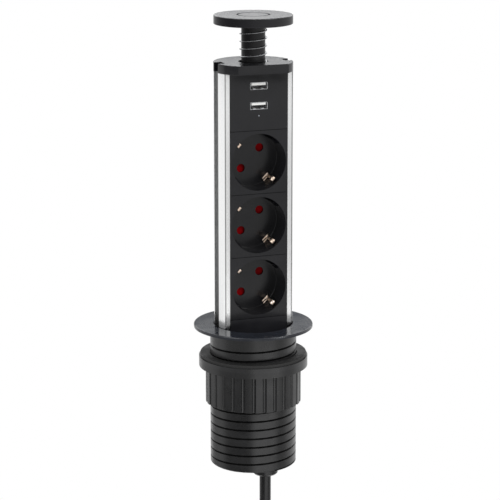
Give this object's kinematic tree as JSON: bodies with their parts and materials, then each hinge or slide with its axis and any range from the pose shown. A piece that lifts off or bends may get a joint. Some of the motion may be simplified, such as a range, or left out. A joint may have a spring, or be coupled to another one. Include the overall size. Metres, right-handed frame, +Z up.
{
  "type": "pop up desk socket",
  "caption": "Round pop up power tower for a desk: an aluminium column with round earthed sockets and charging ports slides in a threaded collar that a ribbed ring nut clamps.",
  "frame": {"origin": "centre of the flange's underside, on the tower's axis, at the top of the desk", "axes": "+Z up along the tower, and the sockets face -Y"},
  "size_m": [0.1099, 0.082, 0.6304],
  "materials": {
    "gloss_black": "polished black moulding",
    "satin_black": "satin black moulding",
    "sleeve_black": "fine moulded black",
    "stem_black": "polished black rod",
    "base_black": "moulded black",
    "aluminium": "satin anodised",
    "steel": "bright wire and screws",
    "port_metal": "bright plated sheet",
    "brass": "bare strip",
    "shutter_red": "red moulding",
    "white_plastic": "white moulding",
    "natural_nylon": "natural moulding",
    "black_rubber": "rubber",
    "cord_black": "flexible sheath",
    "tie_black": "woven strap",
    "led_clear": "clear light guide",
    "board_green": "coated board",
    "coil_yellow": "taped winding",
    "can_blue": "sleeved can",
    "core_brown": "insulation",
    "core_blue": "insulation",
    "core_green": "insulation with stripe"
  },
  "bodies": {
    "collar": {"flange_ring": "gloss_black", "threaded_sleeve": "sleeve_black", "friction_ring": "black_rubber", "guide_keys": "natural_nylon"},
    "tower": {"tower_profile": "aluminium", "tower_cap": "satin_black", "rear_liner": "natural_nylon", "lower_panel": "satin_black", "usb_faceplate": "satin_black", "usb_shells": "port_metal", "usb_tongues": "white_plastic", "usb_contacts": "brass", "status_led": "led_clear", "charger_board": "board_green", "charger_transformer": "coil_yellow", "charger_capacitors": "can_blue", "socket_face_top": "satin_black", "socket_face_middle": "satin_black", "socket_face_bottom": "satin_black", "contact_carrier_top": "natural_nylon", "contact_carrier_middle": "natural_nylon", "contact_carrier_bottom": "natural_nylon", "earth_strap_top": "brass", "earth_strap_middle": "brass", "earth_strap_bottom": "brass", "live_busbar": "brass", "neutral_busbar": "brass", "earth_busbar": "brass", "terminal_block": "natural_nylon", "terminal_screws": "steel", "live_wire": "core_brown", "neutral_wire": "core_blue", "earth_wire": "core_green", "base_cap": "base_black", "base_screws": "steel", "cable_gland": "base_black", "gland_nut": "base_black", "cord_sheath": "cord_black", "cord_lead": "cord_black", "cord_hank": "cord_black", "cord_tail": "cord_black", "hank_tie": "tie_black", "plug_body": "cord_black", "plug_pins": "port_metal", "plug_earth": "brass"},
    "clamp_washers": {"desk_gasket": "black_rubber", "slip_washer": "base_black"},
    "clamp_nut": {"clamp_nut": "sleeve_black"},
    "shutter_top": {"shutter_top": "shutter_red"},
    "shutter_middle": {"shutter_middle": "shutter_red"},
    "shutter_bottom": {"shutter_bottom": "shutter_red"},
    "knob": {"knob_disc": "satin_black", "knob_inlay": "satin_black", "knob_screw": "steel", "knob_stem": "stem_black", "stem_clip": "steel", "knob_spring": "steel"}
  },
  "joints": [
    {"name": "tower_slide", "type": "slide", "parent": "collar", "child": "tower", "axis": [0, 0, 1], "range_m": [-0.2024, 0]},
    {"name": "knob_press", "type": "slide", "parent": "tower", "child": "knob", "axis": [0, 0, 1], "range_m": [-0.01, 0], "stiffness_N_per_m": 250, "springref_m": 0.012, "deforming": ["knob_spring"]},
    {"name": "shutter_bottom_turn", "type": "hinge", "parent": "tower", "child": "shutter_bottom", "pos_m": [0, 0.00875, 0.02965], "axis": [0, 1, 0], "range_deg": [0, 42], "stiffness_Nm_per_rad": 0.002, "springref_deg": -17.19},
    {"name": "shutter_middle_turn", "type": "hinge", "parent": "tower", "child": "shutter_middle", "pos_m": [0, 0.00875, 0.07295], "axis": [0, 1, 0], "range_deg": [0, 42], "stiffness_Nm_per_rad": 0.002, "springref_deg": -17.19},
    {"name": "shutter_top_turn", "type": "hinge", "parent": "tower", "child": "shutter_top", "pos_m": [0, 0.00875, 0.11625], "axis": [0, 1, 0], "range_deg": [0, 42], "stiffness_Nm_per_rad": 0.002, "springref_deg": -17.19},
    {"name": "washer_slide", "type": "slide", "parent": "collar", "child": "clamp_washers", "axis": [0, 0, 1], "range_m": [-0.0308, 0.0124]},
    {"name": "nut_turn", "type": "hinge", "parent": "clamp_washers", "child": "clamp_nut", "pos_m": [0, 0, -0.0385], "axis": [0, 0, 1], "range_deg": [-1800, 720]}
  ],
  "couplings": [
    {"joint": "washer_slide", "follows": "nut_turn", "m_per_rad": 0.00097721}
  ]
}
